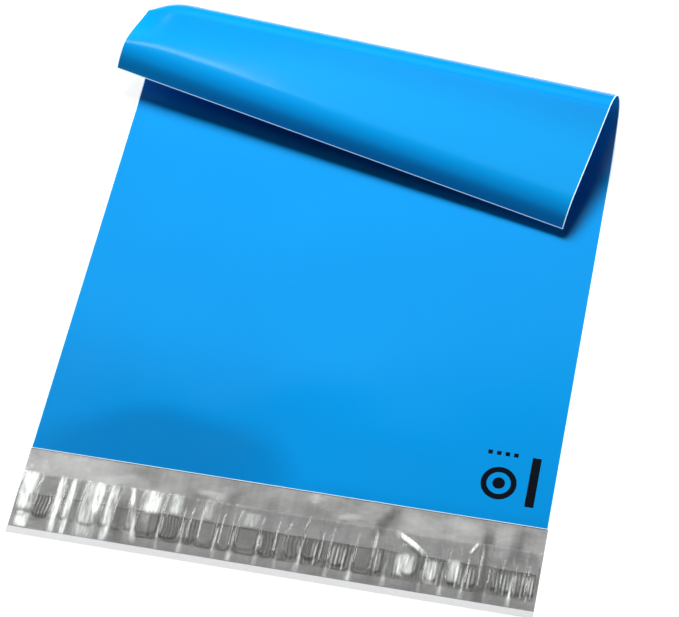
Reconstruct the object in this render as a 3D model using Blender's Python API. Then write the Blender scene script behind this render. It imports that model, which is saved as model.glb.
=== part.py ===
"""Poly mailer bag of polyethylene film, lying on its back panel with the closed end curled over the front.

Frame: metres, +Z up. The origin is on the underside of the back panel, at the middle of the mouth line.
+X runs along the mouth to the right, +Y from the mouth towards the closed end.
A point of the bag before it is curled is (across, along, height): its place on the bag laid out flat.
"""

import math

import bmesh
import bpy

# The flat bag, the 12 by 15.5 inch trade size with a 2 inch lip
BAG_WIDTH = 0.3048
BAG_LENGTH = 0.3937
LIP_LENGTH = 0.0508
FILM = 0.00006
PANEL_GAP = 0.0003
SIDE_WELD = 0.0012
MOUTH_GAPE = 0.0010
GAPE_REACH = 0.050

# The curled end, from the lift off the table round to the free bottom fold
CURL_SKEW = math.radians(6.6)
LIFT_RADIUS = 0.090
LIFT_ANGLE = math.radians(35)
TURN_RADIUS = 0.012
FLAP_LENGTH = 0.0375
ROLL_RADIUS = 0.035
ROLL_ANGLE = math.radians(40)
FREE_EDGE_LIFT = 0.0055

# The curl's ridge sinks a little into the roll towards the left, and more at its soft left corner, which draws in
RIDGE_PLACE = 0.073
RIDGE_REACH = 0.045
RIDGE_LEAN = 0.0022
CORNER_SAG = 0.008
CORNER_PULL = 0.0045
CORNER_REACH = 0.028

# The hot melt band on the lip and the film strip that covers it
LAYER_GAP = 0.0003
ADHESIVE_WIDTH = 0.0165
ADHESIVE_THICKNESS = 0.0001
ADHESIVE_SETBACK = 0.0058
ADHESIVE_END_MARGIN = 0.002
LINER_THICKNESS = 0.00005
LINER_OVERHANG = 0.0045
LINER_MARGIN = 0.013
POCKET_HEIGHT = 0.0014
POCKET_END_GAP = 0.001
POCKET_END_SQUARENESS = 4
FULL_POCKET_WIDTH = 0.010
NARROW_POCKET_WIDTH = 0.0055

# The liner's puffed pockets from left to right, as widths that share out the bag's width
POCKET_SHARES = (
    (10.5, 12.0, 4.0, 7.0, 4.5, 12.5, 8.0, 7.5, 6.0, 14.0)
    + (12.5, 4.5, 6.0, 9.5, 3.0, 6.0, 3.0, 13.5, 9.5, 6.5)
    + (9.0, 11.0, 5.0, 11.5, 3.0, 10.0, 7.5, 3.5, 5.5, 11.0)
    + (3.0, 9.5, 3.0, 8.0, 3.0, 7.0, 5.5, 7.2, 7.2, 7.2, 7.2)
)

# How finely the curved stretches are cut
PANEL_COLUMNS = 9
CORNER_COLUMNS = 5
LIFT_STEPS = 10
TURN_STEPS = 20
FLAP_STEPS = 5
ROLL_STEPS = 7
GAPE_STEPS = 5
FOLD_STEPS = 4
LIP_STEPS = 2
POCKET_COLUMNS = 4
NARROW_POCKET_COLUMNS = 2
POCKET_ROWS = 6

BAG_HEIGHT = 2 * FILM + PANEL_GAP
HALF_WIDTH = BAG_WIDTH / 2
ROLL_START = BAG_LENGTH - ROLL_RADIUS * ROLL_ANGLE
TURN_END = ROLL_START - FLAP_LENGTH


def film_material(name, colour, roughness, alpha=1.0):
    """A plastic film's material."""
    material = bpy.data.materials.new(name)
    material.use_nodes = True
    shader = material.node_tree.nodes["Principled BSDF"]
    shader.inputs["Base Color"].default_value = (*colour, 1.0)
    shader.inputs["Roughness"].default_value = roughness
    shader.inputs["Metallic"].default_value = 0.0
    shader.inputs["Alpha"].default_value = alpha
    return material


def curl_profile(distance, turn):
    """Reach, rise and slope of the curled film at a distance past the lift line, for a whole turn angle."""
    lift = min(max(distance, 0.0), LIFT_RADIUS * LIFT_ANGLE) / LIFT_RADIUS
    reach = min(distance, 0.0) + LIFT_RADIUS * math.sin(lift)
    rise = LIFT_RADIUS * (1 - math.cos(lift))
    past_lift = max(distance - LIFT_RADIUS * LIFT_ANGLE, 0.0)
    slope = lift + min(past_lift / TURN_RADIUS, turn - LIFT_ANGLE)
    reach += TURN_RADIUS * (math.sin(slope) - math.sin(lift))
    rise += TURN_RADIUS * (math.cos(lift) - math.cos(slope))
    past_turn = max(past_lift - TURN_RADIUS * (turn - LIFT_ANGLE), 0.0)
    reach += past_turn * math.cos(slope)
    rise += past_turn * math.sin(slope)
    return reach, rise, slope


def curl_length(turn):
    """Length of film between the lift line and the end of the turn."""
    return LIFT_RADIUS * LIFT_ANGLE + TURN_RADIUS * (turn - LIFT_ANGLE)


def ridge_sag(across, distance):
    """How far the film sinks into the roll at a distance past the lift line, and is drawn in along the ridge."""
    closeness = max(1 - ((distance - RIDGE_PLACE) / RIDGE_REACH) ** 2, 0.0) ** 2
    corner = max(1 - (across + HALF_WIDTH) / CORNER_REACH, 0.0) ** 2
    sag = closeness * (CORNER_SAG * corner - RIDGE_LEAN * across / HALF_WIDTH)
    return sag, closeness * CORNER_PULL * corner


def curled(across, along, height, turn):
    """Where a point of the flat bag lies once the closed end is rolled down and the bag is turned over itself."""
    roll = min(max(along - ROLL_START, 0.0) / ROLL_RADIUS, ROLL_ANGLE)
    past_roll = max(along - BAG_LENGTH, 0.0)
    inner_radius = ROLL_RADIUS - height
    rolled_along = min(along, ROLL_START) + inner_radius * math.sin(roll) + past_roll * math.cos(roll)
    rolled_height = height + inner_radius * (1 - math.cos(roll)) + past_roll * math.sin(roll)

    lift_line = TURN_END - curl_length(turn) / math.cos(CURL_SKEW)
    sine, cosine = math.sin(CURL_SKEW), math.cos(CURL_SKEW)
    beyond = rolled_along - lift_line
    distance = across * sine + beyond * cosine
    sag, pull = ridge_sag(across, distance)
    along_axis = across * cosine - beyond * sine + pull
    reach, rise, slope = curl_profile(distance, turn)
    inward = rolled_height + sag
    reach -= inward * math.sin(slope)
    rise += inward * math.cos(slope)
    return (
        along_axis * cosine + reach * sine,
        lift_line - along_axis * sine + reach * cosine,
        rise,
    )


def turn_for_lift():
    """Turn angle that brings the lower corner of the free edge to its lift above the front panel."""
    low, high = math.radians(150), math.radians(260)
    for _ in range(50):
        turn = (low + high) / 2
        corner = min(curled(side, BAG_LENGTH, BAG_HEIGHT, turn)[2] for side in (-HALF_WIDTH, HALF_WIDTH))
        if corner > BAG_HEIGHT + FREE_EDGE_LIFT:
            low = turn
        else:
            high = turn
    return low


def evenly(start, end, steps):
    """Values from start up to end, without the end."""
    return [start + (end - start) * step / steps for step in range(steps)]


def panel_stations(turn):
    """Rows of the panels from mouth to bottom fold, as (place on the centre line, share of the curl's skew)."""
    cosine = math.cos(CURL_SKEW)
    lift_end = TURN_END - TURN_RADIUS * (turn - LIFT_ANGLE) / cosine
    lift_start = TURN_END - curl_length(turn) / cosine
    gape_end = min(GAPE_REACH, lift_start / 2)
    fold_start = BAG_LENGTH - BAG_HEIGHT / 2
    stations = [(along, 0.0) for along in evenly(0.0, gape_end, GAPE_STEPS)]
    stations.append((gape_end, 0.0))
    stations += [(along, 1.0) for along in evenly(lift_start, lift_end, LIFT_STEPS)]
    stations += [(along, 1.0) for along in evenly(lift_end, TURN_END, TURN_STEPS)]
    stations += [
        (along, (ROLL_START - along) / FLAP_LENGTH) for along in evenly(TURN_END, ROLL_START, FLAP_STEPS)
    ]
    stations += [(along, 0.0) for along in evenly(ROLL_START, fold_start, ROLL_STEPS)]
    stations.append((fold_start, 0.0))
    return stations


def gape(across, along):
    """How far the front panel stands off near the mouth, none at the side welds."""
    inner_half = HALF_WIDTH - SIDE_WELD
    across_share = max(1 - (across / inner_half) ** 2, 0.0)
    along_share = max(1 - along / GAPE_REACH, 0.0) ** 2
    return MOUTH_GAPE * across_share * along_share


def add_row(bm, columns, station, height, turn, lifted=False):
    """One row of vertices across the bag at a height, curled into place."""
    along_centre, skew_share = station
    row = []
    for across in columns:
        along = along_centre - across * math.tan(CURL_SKEW) * skew_share
        stand_off = gape(across, along) if lifted else 0.0
        row.append(bm.verts.new(curled(across, along, height + stand_off, turn)))
    return row


def skin(bm, rows):
    """Quads between each row and the next."""
    for row, next_row in zip(rows, rows[1:]):
        for place in range(len(row) - 1):
            bm.faces.new((row[place], row[place + 1], next_row[place + 1], next_row[place]))


def edge_strip(bm, lower, upper):
    """Quads up the edge between two lists of vertices of one length."""
    skin(bm, [lower, upper])


def fold_rows(bm, columns, radius, turn):
    """Rows round the bottom fold, between the panels' last rows."""
    centre_along = BAG_LENGTH - BAG_HEIGHT / 2
    rows = []
    for step in range(1, FOLD_STEPS):
        angle = math.pi * step / FOLD_STEPS - math.pi / 2
        along = centre_along + radius * math.cos(angle)
        height = BAG_HEIGHT / 2 + radius * math.sin(angle)
        rows.append(add_row(bm, columns, (along, 0.0), height, turn))
    return rows


def finished_object(name, bm, material):
    """A named object of one closed mesh, with smooth shading broken at its sharp edges."""
    bmesh.ops.recalc_face_normals(bm, faces=bm.faces)
    mesh = bpy.data.meshes.new(name)
    bm.to_mesh(mesh)
    bm.free()
    mesh.materials.append(material)
    mesh.shade_smooth()
    mesh.set_sharp_from_angle(angle=math.radians(40))
    made = bpy.data.objects.new(name, mesh)
    bpy.context.scene.collection.objects.link(made)
    return made


def build_film_bag(material):
    """One web of film: the back panel with its lip, turned at the bottom fold into the front panel,
    and welded down both sides. The mouth between the panels is open."""
    turn = turn_for_lift()
    inner_edge = HALF_WIDTH - SIDE_WELD
    corner_edge = CORNER_REACH - HALF_WIDTH
    inner = evenly(-inner_edge, corner_edge, CORNER_COLUMNS)
    inner += evenly(corner_edge, inner_edge, PANEL_COLUMNS) + [inner_edge]
    every = [-HALF_WIDTH, *inner, HALF_WIDTH]
    panel = panel_stations(turn)
    lip = [(along, 0.0) for along in evenly(-LIP_LENGTH, 0.0, LIP_STEPS)]

    bm = bmesh.new()
    back_out = [add_row(bm, every, station, 0.0, turn) for station in lip + panel]
    lip_in = [add_row(bm, every, station, FILM, turn) for station in [*lip, panel[0]]]
    back_in = [lip_in[-1][1:-1]] + [add_row(bm, inner, station, FILM, turn) for station in panel[1:]]
    front_in = [add_row(bm, inner, station, FILM + PANEL_GAP, turn, lifted=True) for station in panel]
    front_out = [add_row(bm, every, station, BAG_HEIGHT, turn, lifted=True) for station in panel]
    outer_fold = fold_rows(bm, every, BAG_HEIGHT / 2, turn)
    inner_fold = fold_rows(bm, inner, PANEL_GAP / 2, turn)

    outside = back_out + outer_fold + front_out[::-1]
    inside = back_in + inner_fold + front_in[::-1]
    skin(bm, outside)
    skin(bm, lip_in)
    skin(bm, inside)
    edge_strip(bm, back_out[0], lip_in[0])
    edge_strip(bm, front_in[0], front_out[0][1:-1])

    mouth = len(lip)
    for end, next_in in ((0, 1), (-1, -2)):
        edge_strip(bm, [row[end] for row in back_out[: mouth + 1]], [row[end] for row in lip_in])
        back_edge = [row[end] for row in back_out[mouth + 1 :]]
        front_edge = [row[end] for row in front_out[1:]]
        edge_strip(bm, back_edge, front_edge)
        bm.faces.new((back_out[mouth][end], lip_in[-1][end], front_out[0][end], front_edge[0], back_edge[0]))
        bm.faces.new([back_edge[-1], *(row[end] for row in outer_fold), front_edge[-1]])
        weld_back = [row[end] for row in back_in]
        weld_front = [row[end] for row in front_in]
        edge_strip(bm, weld_back, weld_front)
        bm.faces.new([weld_back[-1], *(row[end] for row in inner_fold), weld_front[-1]])
        bm.faces.new(
            (
                lip_in[-1][end],
                lip_in[-1][next_in],
                weld_front[0],
                front_out[0][next_in],
                front_out[0][end],
            )
        )
    return finished_object("film_bag", bm, material)


def build_adhesive_strip(material):
    """The band of hot melt glue across the lip, just short of both side edges."""
    half = HALF_WIDTH - ADHESIVE_END_MARGIN
    near = -LIP_LENGTH + ADHESIVE_SETBACK
    floor = FILM + LAYER_GAP
    bm = bmesh.new()
    corners = [(-half, near), (half, near), (half, near + ADHESIVE_WIDTH), (-half, near + ADHESIVE_WIDTH)]
    base = bm.faces.new([bm.verts.new((across, along, floor)) for across, along in corners])
    raised = bmesh.ops.extrude_face_region(bm, geom=[base])
    top = [item for item in raised["geom"] if isinstance(item, bmesh.types.BMVert)]
    bmesh.ops.translate(bm, verts=top, vec=(0.0, 0.0, ADHESIVE_THICKNESS))
    return finished_object("adhesive_strip", bm, material)


def pockets():
    """Left and right side of each puffed pocket, from the liner's left end to its right end."""
    sides = []
    left = -HALF_WIDTH
    for share in POCKET_SHARES:
        right = left + BAG_WIDTH * share / sum(POCKET_SHARES)
        sides.append((left, right))
        left = right
    return sides


def pocket_rise(width, across_share, along):
    """Height of a pocket at a share across it: a low tunnel over the glue with a U-shaped end."""
    glue_top = -LIP_LENGTH + ADHESIVE_SETBACK + ADHESIVE_WIDTH
    depth = ADHESIVE_WIDTH - POCKET_END_GAP
    tunnel = math.sin(math.pi * across_share) ** 2
    if along >= glue_top:
        fade = 1 - 0.5 * (along - glue_top) / LINER_MARGIN
    else:
        fade = math.sqrt(max(1 - ((glue_top - along) / depth) ** POCKET_END_SQUARENESS, 0.0))
    return POCKET_HEIGHT * min(width / FULL_POCKET_WIDTH, 1.0) * tunnel * fade


def build_release_liner(material):
    """The clear strip over the glue. It lifts in a row of puffed pockets and stands out past the lip."""
    glue_bottom = -LIP_LENGTH + ADHESIVE_SETBACK
    glue_top = glue_bottom + ADHESIVE_WIDTH
    rest = FILM + 2 * LAYER_GAP + ADHESIVE_THICKNESS
    rows_along = [-LIP_LENGTH - LINER_OVERHANG, -LIP_LENGTH, glue_bottom]
    rows_along += evenly(glue_bottom, glue_top, POCKET_ROWS)[1:]
    rows_along += evenly(glue_top, glue_top + LINER_MARGIN, 2) + [glue_top + LINER_MARGIN]

    lower, upper = [], []
    bm = bmesh.new()
    for along in rows_along:
        heights = []
        for left, right in pockets():
            width = right - left
            columns = NARROW_POCKET_COLUMNS if width < NARROW_POCKET_WIDTH else POCKET_COLUMNS
            for step in range(columns):
                share = step / columns
                heights.append((left + width * share, pocket_rise(width, share, along)))
        heights.append((HALF_WIDTH, 0.0))
        lower.append([bm.verts.new((across, along, rest + rise)) for across, rise in heights])
        upper.append(
            [bm.verts.new((across, along, rest + rise + LINER_THICKNESS)) for across, rise in heights]
        )
    skin(bm, lower)
    skin(bm, upper)
    edge_strip(bm, lower[0], upper[0])
    edge_strip(bm, lower[-1], upper[-1])
    for end in (0, -1):
        edge_strip(bm, [row[end] for row in lower], [row[end] for row in upper])
    return finished_object("release_liner", bm, material)


def build():
    """The whole bag, from an empty scene."""
    for old in list(bpy.data.objects):
        bpy.data.objects.remove(old, do_unlink=True)
    blue_film = film_material("blue_film", (0.010, 0.360, 0.940), 0.30)
    clear_glue = film_material("clear_glue", (0.62, 0.60, 0.54), 0.20, alpha=0.6)
    clear_liner = film_material("clear_liner", (0.86, 0.87, 0.87), 0.12, alpha=0.4)
    build_film_bag(blue_film)
    build_adhesive_strip(clear_glue)
    build_release_liner(clear_liner)


build()
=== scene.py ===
# %% [markdown]
# A poly mailer is a bag made from one long web of plastic film. The film is blown with two layers, blue
# outside and silver-grey inside, folded across the middle and welded down both sides. One panel is cut
# longer than the other: that longer end is the lip, with a band of glue under a clear liner. Here the bag
# lies on its back panel, empty, with its closed end curled over the front.
#
# The construction model gives the true size and place. It comes in first.

# %% Bring in the construction model
import math

import bmesh
import bpy
import numpy as np
from mathutils import Euler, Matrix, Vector


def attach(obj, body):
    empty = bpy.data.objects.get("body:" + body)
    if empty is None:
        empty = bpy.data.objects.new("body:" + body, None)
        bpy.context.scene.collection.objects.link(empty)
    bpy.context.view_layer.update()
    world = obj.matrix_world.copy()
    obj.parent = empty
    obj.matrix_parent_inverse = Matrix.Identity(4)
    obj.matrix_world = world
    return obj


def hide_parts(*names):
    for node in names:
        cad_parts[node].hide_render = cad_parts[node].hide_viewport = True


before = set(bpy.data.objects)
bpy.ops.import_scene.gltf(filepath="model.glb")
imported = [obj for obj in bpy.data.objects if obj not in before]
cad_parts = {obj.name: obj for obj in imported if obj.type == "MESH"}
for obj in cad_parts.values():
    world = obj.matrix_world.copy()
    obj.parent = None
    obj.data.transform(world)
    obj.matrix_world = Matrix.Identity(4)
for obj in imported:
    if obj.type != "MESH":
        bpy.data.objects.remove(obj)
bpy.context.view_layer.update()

# %% [markdown]
# Film doesn't stretch when it is folded gently, so it is easiest to think of the bag laid out flat first. A
# flat place is three numbers: across from the middle line, along from the mouth towards the closed end, and
# height through the layers. The sizes are the trade ones, in millimetres turned into metres.

# %% Sizes of the flat bag
MM = 0.001
WIDTH = 304.8 * MM
LENGTH = 393.7 * MM
LIP = 50.8 * MM
FILM = 0.06 * MM
PANEL_GAP = 0.3 * MM
BAG_HEIGHT = 2 * FILM + PANEL_GAP
HALF = WIDTH / 2
print("flat bag %.1f by %.1f mm, with a lip of %.1f mm" % (WIDTH / MM, LENGTH / MM, LIP / MM))

# %% [markdown]
# The curl could be made with a cloth simulation, but that stretches the film a little and never lands twice
# in the same place. A sheet that bends without stretching always has straight lines in it, called rulings,
# so the curl can be written down exactly instead. Here are two bends. The last stretch rolls down with
# rulings along the free edge, and the whole bag turns over itself with rulings that lean, which is why the
# free edge ends up at a slant. Real film gives way a little as well, so the curl's ridge sinks slightly to
# the left and its left corner sags softly.

# %% The curl's shape
SKEW = math.radians(6.6)
LIFT_RADIUS, LIFT_ANGLE = 90 * MM, math.radians(35)
TURN_RADIUS, TURN_ANGLE = 12 * MM, math.radians(197.8)
FLAP = 37.5 * MM
ROLL_RADIUS, ROLL_ANGLE = 35 * MM, math.radians(40)
ROLL_START = LENGTH - ROLL_RADIUS * ROLL_ANGLE
TURN_END = ROLL_START - FLAP
CURL_LENGTH = LIFT_RADIUS * LIFT_ANGLE + TURN_RADIUS * (TURN_ANGLE - LIFT_ANGLE)
LIFT_LINE = TURN_END - CURL_LENGTH / math.cos(SKEW)
RIDGE_PLACE, RIDGE_REACH = 73 * MM, 45 * MM
RIDGE_LEAN = 2.2 * MM
CORNER_SAG, CORNER_PULL, CORNER_REACH = 8 * MM, 4.5 * MM, 28 * MM


def ridge_sag(across, distance):
    """How far the film sinks into the roll at a distance past the lift line, and how far it is drawn in."""
    closeness = np.maximum(1 - ((distance - RIDGE_PLACE) / RIDGE_REACH) ** 2, 0) ** 2
    corner = np.maximum(1 - (across + HALF) / CORNER_REACH, 0) ** 2
    sag = closeness * (CORNER_SAG * corner - RIDGE_LEAN * across / HALF)
    return sag, closeness * CORNER_PULL * corner


def curled(across, along, height):
    """Where flat places lie once the closed end is rolled down and turned over. Takes and gives arrays."""
    roll = np.clip((along - ROLL_START) / ROLL_RADIUS, 0, ROLL_ANGLE)
    rolled_along = np.minimum(along, ROLL_START) + (ROLL_RADIUS - height) * np.sin(roll)
    inward = height + (ROLL_RADIUS - height) * (1 - np.cos(roll))

    beyond = rolled_along - LIFT_LINE
    distance = across * math.sin(SKEW) + beyond * math.cos(SKEW)
    sag, pull = ridge_sag(across, distance)
    down_the_axis = across * math.cos(SKEW) - beyond * math.sin(SKEW) + pull
    inward = inward + sag

    lift = np.clip(distance / LIFT_RADIUS, 0, LIFT_ANGLE)
    past_lift = np.maximum(distance - LIFT_RADIUS * LIFT_ANGLE, 0)
    slope = lift + np.minimum(past_lift / TURN_RADIUS, TURN_ANGLE - LIFT_ANGLE)
    past_turn = np.maximum(past_lift - TURN_RADIUS * (TURN_ANGLE - LIFT_ANGLE), 0)
    reach = np.minimum(distance, 0) + LIFT_RADIUS * np.sin(lift)
    reach = reach + TURN_RADIUS * (np.sin(slope) - np.sin(lift))
    reach = reach + past_turn * np.cos(slope) - inward * np.sin(slope)
    rise = LIFT_RADIUS * (1 - np.cos(lift)) + TURN_RADIUS * (np.cos(lift) - np.cos(slope))
    rise = rise + past_turn * np.sin(slope) + inward * np.cos(slope)
    return np.stack(
        [
            down_the_axis * math.cos(SKEW) + reach * math.sin(SKEW),
            LIFT_LINE - down_the_axis * math.sin(SKEW) + reach * math.cos(SKEW),
            rise,
        ],
        axis=-1,
    )


corner = curled(np.array([HALF]), np.array([LENGTH]), np.array([BAG_HEIGHT]))[0]
print("the free edge's right corner stands %.1f mm over the table" % (corner[2] / MM))

# %% [markdown]
# Film never lies dead flat. A little air between the panels lifts the front one in long soft waves, and the
# lip has a few folds where it was handled. Noise would ripple everywhere alike, so each wave is placed as a
# soft hump with its own place, length, width and lean. The humps fade out at the side welds, which hold the
# panels down, and at the mouth, which lies flat.


# %% Waves in the film
def soft_step(x, low, high):
    """0 below low, 1 above high, and a smooth ramp between."""
    t = np.clip((x - low) / (high - low), 0, 1)
    return t * t * (3 - 2 * t)


def hump(across, along, place, size, lean, height):
    """A soft hump: place and size are (across, along) in mm, lean is in degrees, height in mm."""
    turn = math.radians(lean)
    dx, dy = across / MM - place[0], along / MM - place[1]
    side = (dx * math.cos(turn) + dy * math.sin(turn)) / size[0]
    end = (dy * math.cos(turn) - dx * math.sin(turn)) / size[1]
    return height * MM * np.exp(-(side**2 + end**2))


FRONT_HUMPS = (
    ((-95, 60), (34, 60), 28, 1.3),
    ((-40, 30), (26, 46), -35, 0.9),
    ((10, 75), (60, 30), 12, 1.2),
    ((60, 40), (38, 28), -20, 1.0),
    ((115, 95), (26, 60), 8, 0.8),
    ((-110, 150), (28, 44), -12, 0.9),
    ((-20, 160), (70, 34), 22, 1.0),
    ((80, 180), (46, 40), -18, 0.8),
)
LIP_HUMPS = (
    ((-147, -33), (4.5, 18), 4, 1.3),
    ((-127, -32), (3, 18), -6, 0.9),
    ((-120.5, -32), (3, 16), -8, 0.9),
    ((-108, -34), (8, 16), 0, 1.5),
    ((-96, -34), (4, 16), 0, 1.0),
    ((-84, -30), (4, 20), 12, 0.9),
    ((-72, -26), (6, 10), 0, 1.2),
    ((-61, -25), (5, 8), 0, 0.8),
    ((-130, -9), (18, 7), 12, 0.8),
    ((-96, -8), (12, 6), 28, 0.9),
    ((-60, -12), (10, 12), -24, 0.9),
    ((-38, -11), (14, 4), 8, 0.7),
    ((-12, -8), (22, 6), 12, 0.9),
    ((22, -4), (5, 7), -38, 0.9),
    ((40, -12), (12, 5), 10, 0.8),
    ((60, -20), (4, 26), 14, 1.4),
    ((78, -22), (11, 2.4), -32, 1.0),
    ((79, -36), (6, 12), 0, 0.8),
    ((92, -34), (4, 12), 0, 0.8),
    ((104, -9), (12, 6), -8, 0.8),
    ((121, -20), (4, 26), 6, 1.3),
    ((138, -12), (9, 12), 24, 0.9),
)


def front_wave(across, along):
    """How far the front panel stands off the back one, beyond their gap."""
    wave = sum(hump(across, along, *each) for each in FRONT_HUMPS)
    held = soft_step(HALF - np.abs(across), 1 * MM, 30 * MM) * soft_step(along, 0, 45 * MM)
    flat_end = 1 - soft_step(along, LIFT_LINE - 60 * MM, LIFT_LINE - 5 * MM)
    return wave * held * flat_end


def lip_wave(across, along):
    """How far the lip's film stands off the table."""
    wave = sum(hump(across, along, *each) for each in LIP_HUMPS)
    return wave * soft_step(-along, -6 * MM, 14 * MM) * soft_step(along, -LIP - 6 * MM, -LIP + 14 * MM)


print("waves in the front panel: %d, in the lip: %d" % (len(FRONT_HUMPS), len(LIP_HUMPS)))

# %% [markdown]
# Some folds of the lip are too fine for the mesh, and yet they are what one sees of it: ones that turn
# away from the light and ones that catch it. Their shade and highlights are painted, kept as marks, a number
# at each point of the mesh, added up from soft-edged spots. The finish reads the marks and paints shade and
# highlights on the film there.


# %% Painted light and shade of the lip's film
def spots(across, along, places):
    """0 to 1 in soft-edged spots. Each has a place and a size in mm, a lean in degrees and a strength."""
    total = np.zeros(np.broadcast(across, along).shape)
    for place, size, lean, strength in places:
        turn = math.radians(lean)
        dx, dy = across / MM - place[0], along / MM - place[1]
        side = np.abs(dx * math.cos(turn) + dy * math.sin(turn)) / size[0]
        end = np.abs(dy * math.cos(turn) - dx * math.sin(turn)) / size[1]
        total = total + strength * np.exp(-(side**4) - end**8)
    return np.minimum(total, 1)


# Painted shade, where folds of the lip turn away from the light.
FOLD_SHADES = (
    ((-134.6, -35), (5, 14), 0, 0.5),
    ((-117, -34), (2.0, 14), 0, 0.6),
    ((-100.5, -40), (1.6, 10), 0, 0.5),
    ((-89.5, -37), (3.4, 14), 0, 0.75),
    ((-80, -4), (8, 5), -40, 0.35),
    ((-50, -20), (5, 9), 0, 0.25),
    ((-28, -14), (3, 8), -30, 0.3),
    ((24, -14), (12, 5), -12, 0.3),
    ((32.4, -38), (1.2, 10), 0, 0.6),
    ((61, -12), (3.2, 13), -27, 0.7),
    ((57, -38), (2.6, 11), 0, 0.45),
    ((67, -36), (2.0, 10), 0, 0.5),
    ((86, -38), (1.4, 11), 0, 0.6),
    ((120.3, -30), (3.0, 24), 0, 0.85),
    ((138, -14), (2.4, 11), -10, 0.5),
    ((0, -50), (150, 2.2), 0, 0.25),
    ((4, -7), (72, 7.5), 0, 0.10),
)
# Painted highlights, where folds of the lip catch the light.
FOLD_HIGHLIGHTS = (
    ((-124, -8), (30, 8), 0, 0.45),
    ((-96, -12), (12, 2.6), 16, 0.3),
    ((-41, -11.5), (8, 2.0), -6, 0.6),
    ((19, -3), (3.4, 3), -36, 0.6),
    ((40, -12), (8, 1.8), 8, 0.6),
    ((82, -9), (12, 7), -12, 0.4),
    ((106, -10), (9, 8), 0, 0.4),
    ((129, -12), (4.5, 10), 0, 0.4),
)


def fold_light_and_shade(across, along):
    """Over 0 for a painted highlight on a fold of the lip's film, under 0 for painted shade."""
    return spots(across, along, FOLD_HIGHLIGHTS) - spots(across, along, FOLD_SHADES)


print("bright folds: %d, dull folds: %d" % (len(FOLD_HIGHLIGHTS), len(FOLD_SHADES)))

# %% [markdown]
# The blue outside carries painted light and shade too. A lamp for each of these would spoil the rest, so
# the finish deepens the blue as painted shade and lightens it as painted light, by these marks: a low dome
# of shade by the mouth, shade at the ridge and the roll of the curl, and light on the flap between them.

# %% Painted light and shade of the blue outside
# Where the painted shade and light rise and fall on the curl, and the dome of painted shade by the mouth.
RIDGE_RISES, RIDGE_FALLS = (66 * MM, 73 * MM), (76 * MM, 89 * MM)
FLAP_RISES, FLAP_FALLS, FLAP_LIGHT = (90 * MM, 112 * MM), (374 * MM, 382 * MM), 0.65
ROLL_RISES, ROLL_FALLS, ROLL_SHADE = (381 * MM, 387 * MM), (389 * MM, 393 * MM), 0.9
DOME_MIDDLE, DOME_WIDTH, DOME_HEIGHT = -72 * MM, 74 * MM, 37 * MM
DOME_WOBBLE, DOME_WOBBLE_LENGTH = 0.04, 11 * MM


def curl_light_and_shade(across, along):
    """Over 0 for painted shade at the curl's ridge and roll, and under 0 for painted light on the flap
    between.
    """
    distance = across * math.sin(SKEW) + (along - LIFT_LINE) * math.cos(SKEW)
    ridge = soft_step(distance, *RIDGE_RISES) * (1 - soft_step(distance, *RIDGE_FALLS))
    flap = soft_step(distance, *FLAP_RISES) * (1 - soft_step(along, *FLAP_FALLS))
    roll = soft_step(along, *ROLL_RISES) * (1 - soft_step(along, *ROLL_FALLS))
    return ridge - FLAP_LIGHT * flap + ROLL_SHADE * roll


def front_painted_shade(across, along):
    """Over 0 for painted shade on the front panel: a dome by the mouth, faint above it and by the curl."""
    # Painted shade: a dome and a band by the mouth, and fainter shade above it and towards the curl.
    from_middle = np.hypot((across - DOME_MIDDLE) / DOME_WIDTH, along / DOME_HEIGHT)
    from_middle = from_middle + DOME_WOBBLE * np.sin(across / DOME_WOBBLE_LENGTH)
    dome = (0.66 + 0.1 * (1 - np.minimum(from_middle, 1))) * (1 - soft_step(from_middle, 0.78, 1.24))
    by_mouth = 0.4 * (1 - soft_step(along, -3 * MM, 10 * MM))
    at_left = 1 - soft_step(across, -50 * MM, 12 * MM)
    above_mouth = 0.28 * at_left * (1 - soft_step(along, 40 * MM, 105 * MM))
    by_curl = 0.33 * soft_step(along, 90 * MM, 230 * MM)
    return np.maximum(dome, by_mouth) + above_mouth + by_curl


deepest = front_painted_shade(np.array([DOME_MIDDLE]), np.array([0.0]))[0]
print("the front panel's deepest mark, in the dome by the mouth: %.2f" % deepest)

# %% [markdown]
# The bag is one web, so it is one mesh: along the outside from the lip's edge, under the back panel, round
# the bottom fold and back over the front panel to the mouth, then the same way inside. Rows of points are
# laid in the flat and bent by the function above. Each point also keeps its flat place as a UV, so that the
# finishes can be drawn in true millimetres and follow the film round the curl.

# %% Rows and columns of the web
COLUMN_STEP = 3.2 * MM
ROW_STEP = 3.0 * MM
BEND_ROW_STEP, BEND_LEAD = 1.5 * MM, 20 * MM
EDGE_ROW = 0.35 * MM
WELD = 1.2 * MM


def spread(start, end, step):
    """Values from start to end, about a step apart."""
    return np.linspace(start, end, max(2, round(abs(end - start) / step) + 1))


inner_columns = spread(-HALF + WELD, HALF - WELD, COLUMN_STEP)
lip_rows = spread(-LIP, 0, ROW_STEP / 2)[:-1]
fold_start = LENGTH - BAG_HEIGHT / 2
panel_rows = np.concatenate(
    [
        [0, EDGE_ROW],
        spread(0, LIFT_LINE - BEND_LEAD, ROW_STEP)[1:],
        spread(LIFT_LINE - BEND_LEAD, fold_start - EDGE_ROW, BEND_ROW_STEP)[1:],
        [fold_start],
    ]
)
print("web mesh: %d inner columns, %d rows to a panel" % (len(inner_columns), len(panel_rows)))

# %% [markdown]
# A small helper keeps the mesh under construction: points with their flat places, and faces with their
# finish. Faces are laid between neighbouring rows, which is how a lofted or skinned surface is made
# anywhere.


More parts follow.
